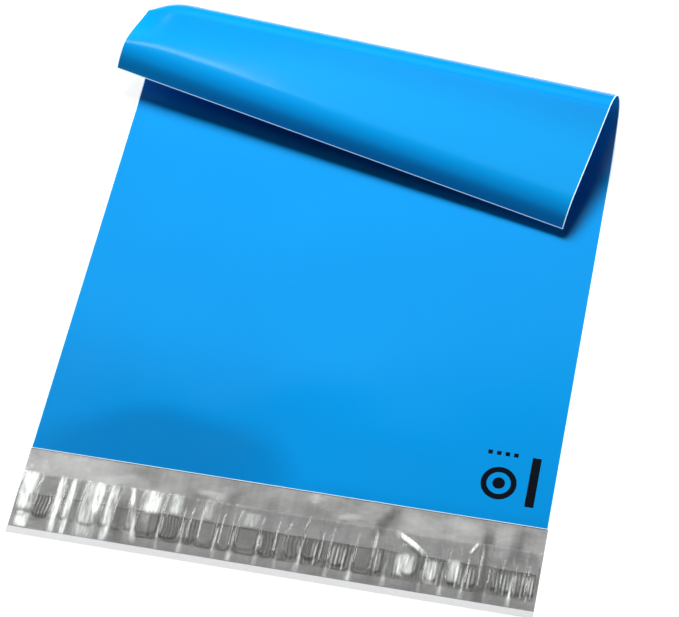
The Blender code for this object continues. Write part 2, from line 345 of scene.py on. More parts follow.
# %% A mesh laid row by row
class FilmMesh:
    """Points, their places on the flat web, their marks, and faces with a finish each."""

    def __init__(self):
        self.points, self.places, self.marks, self.faces, self.finishes = [], [], [], [], []
        self.count = 0

    def row(self, across, points, web_place, marks=0.0):
        """Adds one row of points and gives back their numbers."""
        self.points.append(points)
        self.marks.append(np.broadcast_to(marks, across.shape))
        self.places.append(np.stack([across, np.broadcast_to(web_place, across.shape)], axis=-1))
        numbers = list(range(self.count, self.count + len(points)))
        self.count += len(points)
        return numbers

    def skin(self, rows, finish, edge_finish=None):
        """Quads between neighbouring rows. The outermost quads of a row may have a finish of their own."""
        for row, following in zip(rows, rows[1:]):
            last = len(row) - 2
            for place in range(last + 1):
                self.faces.append((row[place], row[place + 1], following[place + 1], following[place]))
                at_edge = edge_finish is not None and place in (0, last)
                self.finishes.append(edge_finish if at_edge else finish)

    def face(self, numbers, finish):
        """One face of any number of corners."""
        self.faces.append(tuple(numbers))
        self.finishes.append(finish)

    def finished(self, name, finishes, crease=math.radians(40)):
        """The mesh as an object, with its flat places as a UV map, and smooth up to the crease angle."""
        mesh = bpy.data.meshes.new(name)
        mesh.from_pydata(np.concatenate(self.points).tolist(), [], self.faces)
        mesh.update()
        for finish in finishes:
            mesh.materials.append(finish)
        mesh.polygons.foreach_set("material_index", self.finishes)
        marks = mesh.attributes.new("marks", "FLOAT", "POINT")
        marks.data.foreach_set("value", np.concatenate(self.marks).astype(np.float32))
        flat_map = mesh.uv_layers.new(name="web_place")
        corners = np.zeros(len(mesh.loops), dtype=np.int32)
        mesh.loops.foreach_get("vertex_index", corners)
        flat_map.data.foreach_set("uv", np.concatenate(self.places)[corners].astype(np.float32).ravel())
        close = bmesh.new()
        close.from_mesh(mesh)
        bmesh.ops.recalc_face_normals(close, faces=close.faces)
        close.to_mesh(mesh)
        close.free()
        mesh.shade_smooth()
        mesh.set_sharp_from_angle(angle=crease)
        made = bpy.data.objects.new(name, mesh)
        bpy.context.scene.collection.objects.link(made)
        triangles = sum(len(face) - 2 for face in self.faces)
        print("%s: %d points, %d triangles" % (name, self.count, triangles))
        return made


# %% [markdown]
# Now the web itself. The order of the rows is the order in which the film runs through the bag, so the
# outside is one long skin and the inside another, joined at the lip's edge, at the mouth and along the side
# welds.

# %% Lay the web of the bag
BLUE, GREY, CUT = 0, 1, 2
CUT_BAND = 0.5 * MM
edge_columns = np.array([HALF - CUT_BAND, HALF])
all_columns = np.concatenate([-edge_columns[::-1], inner_columns, edge_columns])
FIRST_INNER, LAST_INNER = 2, len(all_columns) - 2
FOLD_STEPS = 6


def bag_row(film, across, along, height, web_place, lifted=False, marking=None):
    """One row of the bag at a place along it, with the waves of its layer, and its marks from a function."""
    along_values = np.full(across.shape, float(along))
    stand_off = lip_wave(across, along_values)
    if lifted:
        stand_off = stand_off + front_wave(across, along_values)
    marks = marking(across, along_values) if marking else 0.0
    return film.row(across, curled(across, along_values, height + stand_off), web_place, marks)


def bag_fold(film, across, radius):
    """Rows round the bottom fold, between the last rows of the two panels."""
    rows = []
    for step in range(1, FOLD_STEPS):
        angle = math.pi * step / FOLD_STEPS - math.pi / 2
        along = fold_start + radius * math.cos(angle)
        height = BAG_HEIGHT / 2 + radius * math.sin(angle)
        rows.append(bag_row(film, across, along, height, LENGTH))
    return rows


def lay_bag():
    """The whole web: back panel and lip, bottom fold, front panel, side welds."""
    film = FilmMesh()
    every, inner = all_columns, inner_columns
    back_rows = np.concatenate([lip_rows, panel_rows])
    back_out = [bag_row(film, every, along, 0.0, along, marking=curl_light_and_shade) for along in back_rows]
    lip_in = [bag_row(film, every, along, FILM, along, marking=fold_light_and_shade) for along in [*lip_rows, 0.0]]
    mouth_in = lip_in[-1][FIRST_INNER:LAST_INNER]
    back_in = [mouth_in] + [bag_row(film, inner, along, FILM, along) for along in panel_rows[1:]]
    front_height = FILM + PANEL_GAP
    front_in = [bag_row(film, inner, a, front_height, 2 * LENGTH - a, True) for a in panel_rows]
    front_out = [bag_row(film, every, a, BAG_HEIGHT, 2 * LENGTH - a, True, front_painted_shade) for a in panel_rows]
    outer_fold = bag_fold(film, every, BAG_HEIGHT / 2)
    inner_fold = bag_fold(film, inner, PANEL_GAP / 2)

    film.skin(back_out[:-1], BLUE, CUT)
    film.skin(back_out[-2:] + outer_fold + front_out[::-1][:2], CUT)
    film.skin(front_out[::-1][1:-1], BLUE, CUT)
    film.skin(front_out[1::-1], CUT)
    film.skin(lip_in, GREY)
    film.skin(back_in + inner_fold + front_in[::-1], GREY)
    film.skin([back_out[0], lip_in[0]], CUT)

    mouth = len(lip_rows)
    for end in (0, -1):
        film.skin([[row[end] for row in back_out[: mouth + 1]], [row[end] for row in lip_in]], CUT)
        back_edge = [row[end] for row in back_out[mouth + 1 :]]
        front_edge = [row[end] for row in front_out[1:]]
        film.skin([back_edge, front_edge], CUT)
        mouth_corner = (back_out[mouth][end], lip_in[-1][end], front_out[0][end], front_edge[0], back_edge[0])
        film.face(mouth_corner, CUT)
        film.face([back_edge[-1], *(row[end] for row in outer_fold), front_edge[-1]], CUT)
        film.skin([[row[end] for row in back_in], [row[end] for row in front_in]], GREY)
        film.face([back_in[-1][end], *(row[end] for row in inner_fold), front_in[-1][end]], GREY)

    film.skin([front_in[0], front_out[0][FIRST_INNER:LAST_INNER]], CUT)
    for near, far in (((0, 1, 2), 0), ((-1, -2, -3), -1)):
        back_side = [lip_in[-1][n] for n in near]
        front_side = [front_out[0][n] for n in near]
        film.skin([back_side[:2], front_side[:2]], CUT)
        film.face((back_side[1], back_side[2], front_in[0][far], front_side[2], front_side[1]), CUT)
    return film


print("columns across the bag: %d, rows round its fold: %d" % (len(all_columns), FOLD_STEPS - 1))

# %% [markdown]
# Three finishes show on the web. The blue outside is a smooth gloss film. Its colour is even, but film
# blown from a ring carries faint lines the way it ran through the machine, and soft patches where it is a
# little more or less shiny, and those are what make a reflection look like plastic. They come from noise
# stretched along the web, read from the flat place, so they bend with the film.


# %% Helpers to wire up a finish
def new_finish(name):
    """An empty finish: its material, its node tree and its main shader."""
    material = bpy.data.materials.new(name)
    material.use_nodes = True
    tree = material.node_tree
    return material, tree, tree.nodes["Principled BSDF"]


def joined(tree, value, socket):
    """Puts a number or another node's output into a socket."""
    if isinstance(value, bpy.types.NodeSocket):
        tree.links.new(value, socket)
    else:
        socket.default_value = value


def sums(tree, operation, first, second=0.0, clamp=False):
    """The result of one arithmetic node."""
    node = tree.nodes.new("ShaderNodeMath")
    node.operation = operation
    node.use_clamp = clamp
    joined(tree, first, node.inputs[0])
    joined(tree, second, node.inputs[1])
    return node.outputs[0]


def web_place(tree):
    """Across and along on the flat web, in metres, and the place as a vector."""
    place = tree.nodes.new("ShaderNodeUVMap")
    place.uv_map = "web_place"
    parts = tree.nodes.new("ShaderNodeSeparateXYZ")
    tree.links.new(place.outputs["UV"], parts.inputs[0])
    return parts.outputs["X"], parts.outputs["Y"], place.outputs["UV"]


def mesh_marks(tree):
    """The marks kept at the mesh's points."""
    node = tree.nodes.new("ShaderNodeAttribute")
    node.attribute_name = "marks"
    return node.outputs["Fac"]


def mottle(tree, place, size_across, size_along, detail=3.0):
    """Soft noise from 0 to 1 on the flat web, with patches of about these sizes in metres."""
    stretch = tree.nodes.new("ShaderNodeMapping")
    stretch.inputs["Scale"].default_value = (1 / size_across, 1 / size_along, 1.0)
    tree.links.new(place, stretch.inputs["Vector"])
    noise = tree.nodes.new("ShaderNodeTexNoise")
    noise.inputs["Scale"].default_value = 1.0
    noise.inputs["Detail"].default_value = detail
    tree.links.new(stretch.outputs[0], noise.inputs["Vector"])
    return noise.outputs["Fac"]


def blended(tree, share, first, second):
    """A colour between two, by a share from 0 to 1."""
    node = tree.nodes.new("ShaderNodeMix")
    node.data_type = "RGBA"
    joined(tree, share, node.inputs["Factor"])
    for colour, name in ((first, "A"), (second, "B")):
        socket = [s for s in node.inputs if s.name == name and s.type == "RGBA"][0]
        joined(tree, colour if isinstance(colour, bpy.types.NodeSocket) else (*colour, 1.0), socket)
    return [s for s in node.outputs if s.type == "RGBA"][0]


def between(tree, value, low, high):
    """A value spread over low to high as its input goes from 0 to 1."""
    return sums(tree, "ADD", sums(tree, "MULTIPLY", value, high - low), low)


def raised(tree, shader, height, distance, strength=1.0, under=None):
    """Fine relief: bumps of a height field, in metres, on top of any earlier bumps."""
    bump = tree.nodes.new("ShaderNodeBump")
    bump.inputs["Strength"].default_value = strength
    bump.inputs["Distance"].default_value = distance
    joined(tree, height, bump.inputs["Height"])
    if under is not None:
        tree.links.new(under, bump.inputs["Normal"])
    tree.links.new(bump.outputs[0], shader.inputs["Normal"])
    return bump.outputs[0]


# %% [markdown]
# The print on such a bag is one dark ink. What stands here is plain: a solid bar, a round target as
# printers use to line up their plates, and a row of small squares. Each is drawn from the distance to its
# middle, so its edge stays sharp at any size.

# %% Print of plain shapes
INK = (0.004, 0.006, 0.012)
BAR_PLACE, BAR_SIZE = (139.3, 27.5), (5.2, 31.5)
TARGET_PLACE, TARGET_RADIUS, TARGET_BAND, TARGET_DOT = (120.0, 24.0), 10.3, 3.4, 3.6
SQUARES_PLACE, SQUARE_SIZE, SQUARE_PITCH, SQUARE_COUNT = (119.6, 43.0), 2.6, 5.0, 4


def within(tree, value, middle, half_size):
    """1 where a value is within half a size of a middle, and 0 elsewhere, in metres from millimetres."""
    off = sums(tree, "ABSOLUTE", sums(tree, "SUBTRACT", value, middle * MM))
    return sums(tree, "LESS_THAN", off, half_size * MM)


def in_box(tree, across, on_front, place, size):
    """1 within a box with a place and a size in millimetres, and 0 elsewhere."""
    beside = within(tree, across, place[0], size[0] / 2)
    return sums(tree, "MULTIPLY", beside, within(tree, on_front, place[1], size[1] / 2))


def front_print(tree, across, along):
    """1 on the printed shapes of the front panel."""
    on_front = sums(tree, "SUBTRACT", 2 * LENGTH, along)
    bar = in_box(tree, across, on_front, BAR_PLACE, BAR_SIZE)
    dx = sums(tree, "SUBTRACT", across, TARGET_PLACE[0] * MM)
    dy = sums(tree, "SUBTRACT", on_front, TARGET_PLACE[1] * MM)
    squared = sums(tree, "ADD", sums(tree, "MULTIPLY", dx, dx), sums(tree, "MULTIPLY", dy, dy))
    distance = sums(tree, "SQRT", squared)
    ring = within(tree, distance, TARGET_RADIUS - TARGET_BAND / 2, TARGET_BAND / 2)
    dot = sums(tree, "LESS_THAN", distance, TARGET_DOT * MM)
    squares = 0.0
    for place in range(SQUARE_COUNT):
        middle = SQUARES_PLACE[0] + (place - (SQUARE_COUNT - 1) / 2) * SQUARE_PITCH
        one = in_box(tree, across, on_front, (middle, SQUARES_PLACE[1]), (SQUARE_SIZE, SQUARE_SIZE))
        squares = sums(tree, "MAXIMUM", squares, one)
    return sums(tree, "MAXIMUM", sums(tree, "MAXIMUM", bar, ring), sums(tree, "MAXIMUM", dot, squares))


print("bar %.1f by %.1f mm, target %.1f mm across, squares %d" % (*BAR_SIZE, 2 * TARGET_RADIUS, SQUARE_COUNT))

# %% [markdown]
# The blue is mixed as light values, not as screen ones, so it looks darker in numbers than on the bag. It
# changes by a few hundredths from patch to patch, and goes over to a deeper blue where the marks paint shade
# and a lighter one where they paint light. The shine changes more, and two sets of relief lie over each
# other: long faint lines along the web, and a soft uneven swell.

# %% Blue outside
FILM_BLUES = (0.0015, 0.325, 0.850), (0.0020, 0.350, 0.880)
# The blues of painted shade and painted light.
SHADE_BLUE = (0.0010, 0.240, 0.640)
LIT_BLUE = (0.0026, 0.415, 0.980)


def blue_outside():
    """Gloss blue film with its plain print."""
    material, tree, shader = new_finish("blue_outside")
    across, along, place = web_place(tree)
    film = blended(tree, mottle(tree, place, 0.060, 0.090), *FILM_BLUES)
    # The marks paint shade and light over the film's own blue.
    marks = mesh_marks(tree)
    shaded_film = blended(tree, marks, film, SHADE_BLUE)
    lit_film = blended(tree, sums(tree, "MULTIPLY", marks, -1.0, clamp=True), shaded_film, LIT_BLUE)
    printed = front_print(tree, across, along)
    tree.links.new(blended(tree, printed, lit_film, INK), shader.inputs["Base Color"])
    shine = mottle(tree, place, 0.025, 0.040, detail=5.0)
    tree.links.new(between(tree, shine, 0.14, 0.20), shader.inputs["Roughness"])
    shader.inputs["Specular IOR Level"].default_value = 0.45
    machine_lines = mottle(tree, place, 0.120, 0.0016, detail=2.0)
    swell = raised(tree, shader, mottle(tree, place, 0.030, 0.045), 0.00030, 0.5)
    raised(tree, shader, machine_lines, 0.00002, 0.35, under=swell)
    return material


blue_finish = blue_outside()
print("blue outside: %d nodes" % len(blue_finish.node_tree.nodes))

# %% [markdown]
# Inside, the film is silver-grey, to keep what is sent from showing through. It is the same plastic with a
# fine metal looking pigment, so it gets a little metal and a soft shine. Where it was handled near the
# mouth it has small creases. The painted shade of the lip's folds darkens it, and their painted highlights
# brighten it.

# %% Silver-grey inside
FILM_GREYS = (0.36, 0.365, 0.36), (0.62, 0.62, 0.61)
# Colours of the painted shade and the painted highlights of the lip's folds.
SHADE_GREY = (0.15, 0.15, 0.14)
HIGHLIGHT_GREY = (0.90, 0.90, 0.89)


def grey_inside():
    """Silver-grey film with small handling creases, and painted shade and highlights of folds over the lip.
    """
    material, tree, shader = new_finish("grey_inside")
    place = web_place(tree)[2]
    patches = mottle(tree, place, 0.018, 0.012, detail=4.0)
    streaks = mottle(tree, place, 0.0035, 0.060, detail=2.0)
    uneven = sums(tree, "ADD", sums(tree, "MULTIPLY", patches, 0.75), sums(tree, "MULTIPLY", streaks, 0.25))
    contrast = sums(tree, "ADD", between(tree, uneven, -0.9, 1.9), 0.0, clamp=True)
    film = blended(tree, contrast, *FILM_GREYS)
    marks = mesh_marks(tree)
    # Painted shade and painted highlights of the lip's folds, read from the marks.
    shaded_grey = blended(tree, sums(tree, "MULTIPLY", marks, -1.0, clamp=True), film, SHADE_GREY)
    bright = sums(tree, "MULTIPLY", marks, 1.0, clamp=True)
    tree.links.new(blended(tree, bright, shaded_grey, HIGHLIGHT_GREY), shader.inputs["Base Color"])
    shader.inputs["Metallic"].default_value = 0.25
    shine = mottle(tree, place, 0.010, 0.014, detail=4.0)
    tree.links.new(between(tree, shine, 0.24, 0.42), shader.inputs["Roughness"])
    folds = raised(tree, shader, mottle(tree, place, 0.016, 0.011, detail=3.0), 0.0022, 0.8)
    raised(tree, shader, mottle(tree, place, 0.0030, 0.0022, detail=2.0), 0.00008, 0.4, under=folds)
    return material


grey_finish = grey_inside()
print("silver-grey inside: %d nodes" % len(grey_finish.node_tree.nodes))

# %% [markdown]
# A cut or folded edge of coloured film looks nearly white. The plastic is bruised there, and its pale colour
# is partly that and partly a painted highlight, with a painted glow that shows even in shade, though the edge
# is no lamp. It is only half a millimetre wide, but it draws the outline of the bag.

# %% Pale cut edge
BRUISED_AND_LIT_BLUES = (0.55, 0.74, 0.92), (0.85, 0.93, 0.98)
# A painted highlight: the edge glows a little, though it is no lamp.
EDGE_HIGHLIGHT_GLOW, EDGE_HIGHLIGHT_STRENGTH = (0.62, 0.90, 1.0, 1.0), 0.50


def pale_edge_and_highlight():
    """Bruised, nearly white film at cuts and folds, with a painted highlight and a painted glow."""
    material, tree, shader = new_finish("pale_edge_and_highlight")
    bruise = mottle(tree, web_place(tree)[2], 0.004, 0.004, detail=3.0)
    tree.links.new(blended(tree, bruise, *BRUISED_AND_LIT_BLUES), shader.inputs["Base Color"])
    shader.inputs["Emission Color"].default_value = EDGE_HIGHLIGHT_GLOW
    shader.inputs["Emission Strength"].default_value = EDGE_HIGHLIGHT_STRENGTH
    tree.links.new(between(tree, bruise, 0.30, 0.50), shader.inputs["Roughness"])
    return material


edge_finish = pale_edge_and_highlight()
print("pale cut edge: %d nodes" % len(edge_finish.node_tree.nodes))

# %% [markdown]
# With the web and its three finishes ready, the bag can be made. It rides on the model's one body and
# stands for the plain solid of the film.

# %% Make the bag
film_bag = lay_bag().finished("bag_film", [blue_finish, grey_finish, edge_finish])
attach(film_bag, "root")
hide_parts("film_bag")

# %% [markdown]
# On the lip lies a band of hot melt glue, a tenth of a millimetre thick, and over it the clear release
# liner. The liner sticks only here and there: between, it puffs up into a row of tunnels with U-shaped ends
# at the band's lower edge, and in places into bunches of fine ridges.

# %% Where the glue and the liner lie
LAYER_GAP = 0.3 * MM
GLUE_WIDTH, GLUE_THICKNESS, GLUE_SETBACK = 16.5 * MM, 0.1 * MM, 5.8 * MM
GLUE_END_MARGIN = 2 * MM
GLUE_FOOT = -LIP + GLUE_SETBACK
GLUE_TOP = GLUE_FOOT + GLUE_WIDTH
LINER, LINER_OVERHANG, LINER_MARGIN = 0.05 * MM, 4.5 * MM, 13 * MM
LINER_TOP = GLUE_TOP + LINER_MARGIN
GLUE_REST = FILM + LAYER_GAP
LINER_REST = GLUE_REST + GLUE_THICKNESS + LAYER_GAP
print("glue from %.1f to %.1f mm below the mouth" % (-GLUE_TOP / MM, -GLUE_FOOT / MM))

# %% [markdown]
# The tunnels and ridges are real shape and not relief in the finish, because their flanks must mirror the
# lamps. Each tunnel is worked out from the distance to its rounded outline. Their widths are given as shares
# of the bag's width, as no two are alike.

# %% Tunnels and ridges of the liner
TUNNEL_SHARES = (
    (10.5, 12.0, 4.0, 7.0, 4.5, 12.5, 8.0, 7.5, 6.0, 14.0)
    + (12.5, 4.5, 6.0, 9.5, 3.0, 6.0, 3.0, 13.5, 9.5, 6.5)
    + (9.0, 11.0, 5.0, 11.5, 3.0, 10.0, 7.5, 3.5, 5.5, 11.0)
    + (3.0, 9.5, 3.0, 8.0, 3.0, 7.0, 5.5, 7.2, 7.2, 7.2, 7.2)
)
TUNNEL_HEIGHT = 1.3 * MM
FULL_TUNNEL_WIDTH = 10 * MM
RIDGE_BUNCHES = (
    (12, 22), (86, 98.5), (103, 109), (144, 153.5), (160, 180), (187, 196.5),
    (209.5, 217), (226, 237), (240, 249.5), (252.5, 260.5), (276, 304.8),
)
RIDGE_HEIGHT, RIDGE_PITCH, RIDGE_FADE = 0.22 * MM, 2.3 * MM, 0.8
GOLDEN = (math.sqrt(5) - 1) / 2


def tunnel_rise(across, along):
    """Height of the liner's tunnels over its rest."""
    rise = np.zeros(np.broadcast(across, along).shape)
    shoulder = 1.5 * MM + 2.5 * MM * soft_step(along, GLUE_TOP, LINER_TOP)
    left = -HALF
    for number, share in enumerate(TUNNEL_SHARES):
        width = WIDTH * share / sum(TUNNEL_SHARES)
        chance = (number * GOLDEN) % 1
        foot = GLUE_FOOT + (0.6 + 1.8 * chance) * MM
        corner_radius = min(width / 2, 5 * MM)
        side = np.abs(across - left - width / 2) - (width / 2 - corner_radius)
        down = foot + corner_radius - along
        inside = corner_radius - np.hypot(np.maximum(side, 0), np.maximum(down, 0))
        inside = inside - np.minimum(np.maximum(side, down), 0)
        height = TUNNEL_HEIGHT * min(width / FULL_TUNNEL_WIDTH, 1.0) * (0.55 + 0.45 * chance)
        reach = np.minimum(shoulder, width / 2)
        rise += height * soft_step(inside / reach, 0, 1)
        left += width
    return rise * (1 - 0.55 * soft_step(along, GLUE_TOP, LINER_TOP))


def ridge_rise(across, along):
    """Height of the fine ridges in their bunches."""
    swing = 0.5 * MM * np.sin(along / (2.7 * MM) + across / (9 * MM))
    turns = (across + swing) / RIDGE_PITCH + 0.35 * np.sin(across / (3.1 * MM))
    ridges = 0.5 + 0.5 * np.cos(2 * math.pi * turns)
    rise = np.zeros(np.broadcast(across, along).shape)
    place = (across + HALF) / MM
    for left, right in RIDGE_BUNCHES:
        past_left = soft_step(place, left - RIDGE_FADE, left + RIDGE_FADE)
        rise = rise + past_left * (1 - soft_step(place, right - RIDGE_FADE, right + RIDGE_FADE))
    in_band = soft_step(along, GLUE_FOOT, GLUE_FOOT + 4 * MM)
    above = 1 - soft_step(along, GLUE_TOP, GLUE_TOP + 3 * MM)
    return RIDGE_HEIGHT * ridges * np.minimum(rise, 1) * in_band * above


def liner_rise(across, along):
    """How far the liner stands off its rest."""
    ends = soft_step(HALF - np.abs(across), 0, 1 * MM)
    past_lip = soft_step(along, -LIP - LINER_OVERHANG, -LIP + 2 * MM)
    return (tunnel_rise(across, along) + ridge_rise(across, along)) * ends * past_lip


print("tunnels: %d, bunches of ridges: %d" % (len(TUNNEL_SHARES), len(RIDGE_BUNCHES)))

# %% [markdown]
# Where the liner has come off the glue and lets air in, it looks silvered, and these spots are partly that
# and partly painted highlights: upright bars at the left, two slanting creases and three bright pockets at
# the right, short streaks between the pockets. They are placed as spots. Only the small differences
# between the streaks come from a running number.

# %% Silvered spots and painted highlights of the liner
# Silvering and painted highlights of the liner, as soft spots.
SILVER_AND_GLINT_SPOTS = [
    ((-146.2, -27), (3.8, 12.5), 0, 1.0),
    ((-145.4, -46), (3.6, 4.4), 0, 1.0),
    ((-127.4, -33), (1.8, 18.5), 0, 0.9),
    ((-120.6, -33), (1.6, 18.5), 0, 0.9),
    ((-108.2, -33), (6.0, 18), 0, 0.45),
    ((-104.2, -25), (2.1, 10), 0, 0.8),
    ((-96.3, -33), (2.4, 18), 0, 0.7),
    ((-84.7, -21.5), (1.3, 7), 14, 0.9),
    ((-81.0, -38), (1.6, 11), 12, 0.5),
    ((-72.2, -22.5), (4.6, 7.3), 0, 0.9),
    ((-58.6, -22), (3.2, 6.4), 0, 0.55),
    ((-40.2, -22), (3.4, 6), 0, 0.25),
    ((-14, -24), (4.6, 4.5), 0, 0.30),
    ((77, -36), (5.4, 6.5), 0, 0.55),
    ((92, -38), (3.6, 7), 0, 0.35),
    ((104.5, -35), (3.0, 6.5), 0, 0.45),
    ((78, -22), (8.6, 1.5), -32, 1.0),
    ((113.5, -19), (0.9, 3.8), -30, 0.7),
]
STREAKS = (-65, -51.5, -32, -22.5, -7.5, 4, 16.5, 33.5, 46.5, 66.5, 86.8, 98.8, 110.5, 124, 137)
for number, across in enumerate(STREAKS):
    chance = (number * GOLDEN) % 1
    SILVER_AND_GLINT_SPOTS.append(((across, -48), (0.9 + 1.1 * chance, 3.4), 6 - 12 * chance, 0.16 + 0.14 * chance))
    SILVER_AND_GLINT_SPOTS.append(((across, -42), (0.6, 4.0 + 4.0 * chance), 0, 0.12 + 0.16 * chance))
print("silvered spots: %d, of them in streaks: %d" % (len(SILVER_AND_GLINT_SPOTS), 2 * len(STREAKS)))

# %% [markdown]
# Hot melt that is pressed on warm draws out into fine upright ridges. Their shade is painted as dark lines,
# placed in mm from the middle. Where two are close together, the liner between them catches the light,
# painted as a thin bright line.

# %% Painted shade of fine ridges in the glue
RIDGE_LINES = (
    (-71.5, -66.6, -64.9, -63.4, -53.2, -50.6, -47.8, -43.6, -33.9, -30.7, -24.2, -21.1, -9.2, -7.0, -4.6)
    + (9.5, 16.0, 18.9, 23.0, 24.8, 26.6, 34.2, 37.0, 39.3, 41.2, 43.0, 48.0, 59.6, 61.3, 63.2)
    + (70.6, 72.5, 74.5, 86.6, 89.7, 91.5, 93.4, 95.2, 97.0, 103.2, 105.4, 107.5, 109.4, 112.4, 114.8, 116.7)
    + (128.5, 130.4, 132.4, 134.5, 136.3, 138.7, 140.6, 142.5, 144.4, 146.2, 148.0, 149.9)
)
CLOSE_LINES = 3.3
# Painted shade of the fine ridges, and painted highlights between close ones.
RIDGE_SHADES = []
for number, (line, next_line) in enumerate(zip(RIDGE_LINES, RIDGE_LINES[1:])):
    chance = (number * GOLDEN) % 1
    lean = 3 - 6 * chance
    RIDGE_SHADES.append(((line, -37.5 + chance), (0.45, 6.6), lean, 0.45 + 0.45 * chance))
    if next_line - line < CLOSE_LINES:
        middle = (line + next_line) / 2
        SILVER_AND_GLINT_SPOTS.append(((middle, -36 - 3 * chance), (0.5, 4.0 + 3.5 * chance), lean, 0.20 + 0.30 * chance))
print("fine ridges: %d" % len(RIDGE_SHADES))

# %% [markdown]
# Round each pocket the glue shows a dark U, and along its upper edge it ends in a dark line; both are
# painted shade. A U is drawn like a tunnel, from the distance to a rounded outline.

# %% Marks of the liner, and painted shade in the glue
POCKETS = (
    (-79.5, -67, 44.5), (-62.5, -53, 44.5), (-60, -55.5, 42.5), (-49.5, -45.5, 44), (-43.8, -33.1, 44.5),
    (-30.6, -23.8, 44.5), (-20.6, -8.1, 45), (-5.6, 1.2, 44.5), (2.6, 7.6, 45), (7.6, 16.4, 45.8),
    (18.2, 32, 46.2), (22, 29, 43), (33.6, 45.6, 45), (47.6, 57.6, 45), (58.6, 63.6, 46),
    (87, 97.6, 46.5), (98.6, 110, 46.5), (110.6, 116.4, 46),
)
POCKET_CORNER, POCKET_LINE = 3.4, 0.6


def silver_and_glint_marks(across, along):
    """Over 0 where the liner is silvered and carries painted highlights, and down to -1 past the lip, where
    the strip looks grey.
    """
    return spots(across, along, SILVER_AND_GLINT_SPOTS) - soft_step(-along, LIP, LIP + 0.8 * MM)


def pocket_lines(across, along):
    """1 on the U-shaped outlines of the pockets, each given by its sides and its foot in mm."""
    lines = np.zeros(np.broadcast(across, along).shape)
    for left, right, foot in POCKETS:
        corner = min((right - left) / 2, POCKET_CORNER)
        side = np.abs(across / MM - (left + right) / 2) - (right - left) / 2 + corner
        down = corner - foot - along / MM
        distance = np.hypot(np.maximum(side, 0), np.maximum(down, 0)) - corner
        distance = distance + np.minimum(np.maximum(side, down), 0)
        lines = np.maximum(lines, np.exp(-((distance / POCKET_LINE) ** 2)))
    return lines


def glue_painted_shade(across, along):
    """Share of painted shade in the glue, from 0 to 1: at the ridges, round the pockets and along its upper
    edge.
    """
    ridges = (ridge_rise(across, along) / RIDGE_HEIGHT) ** 1.5
    top_line = np.exp(-(((along - GLUE_TOP) / MM + 0.5) ** 2) / 0.16)
    # Painted shade at the ridges, round the pockets and along the glue's upper edge.
    drawn = 0.45 * ridges + 0.75 * pocket_lines(across, along) + spots(across, along, RIDGE_SHADES)
    return np.minimum(drawn + 0.4 * top_line, 1)


print("pockets: %d" % len(POCKETS))

# %% [markdown]
# The liner and the glue are thin slabs that follow the lip's film. Both are laid with the same row-by-row
# mesh.

# %% Thin slabs over the lip
def lay_slab(across_values, along_values, rest, thickness, rise, marking):
    """A thin closed slab over the lip. Its rise over its rest and its marks are functions of the place."""
    slab = FilmMesh()
    lower, upper = [], []
    for along in along_values:
        along_row = np.full(across_values.shape, float(along))
        height = rest + lip_wave(across_values, along_row) + rise(across_values, along_row)
        marks = marking(across_values, along_row)
        lower.append(slab.row(across_values, curled(across_values, along_row, height), along, marks))
        height = height + thickness
        upper.append(slab.row(across_values, curled(across_values, along_row, height), along, marks))

    slab.skin(lower, 0)
    slab.skin(upper, 0)
    slab.skin([lower[0], upper[0]], 0)
    slab.skin([lower[-1], upper[-1]], 0)
    for end in (0, -1):
        slab.skin([[row[end] for row in lower], [row[end] for row in upper]], 0)
    return slab


# %% [markdown]
# Clear film shows what is behind it and mirrors a few hundredths of the light, more at a slant. Glass that
# bends light would blacken what lies under it, because its rays can't reach the lamps, so the film is a
# see-through shader with a mirror over it, shared by Fresnel. The mirror's share is held under a limit,
# because Fresnel takes the underside of a thin film for the inside of solid glass, which mirrors everything
# at a slant. A little haze stands for the fine scratches that keep the film from being invisible. Marks
# over 0 add haze, broken up by noise: in the glue a dark haze that is painted shade, in the liner silvering
# and painted highlights with a faint painted glow, though the film is no lamp. Marks under 0 give the strip
# past the lip its grey.


# %% Clear finishes
MIRROR_LIMIT = 0.16
FILM_IOR = 1.5
OVERHANG_TINT = (0.868, 0.868, 0.872)
# Colour of the painted glow in the liner's silvered spots and painted highlights.
GLINT_GLOW = (0.95, 1.0, 0.97, 1.0)


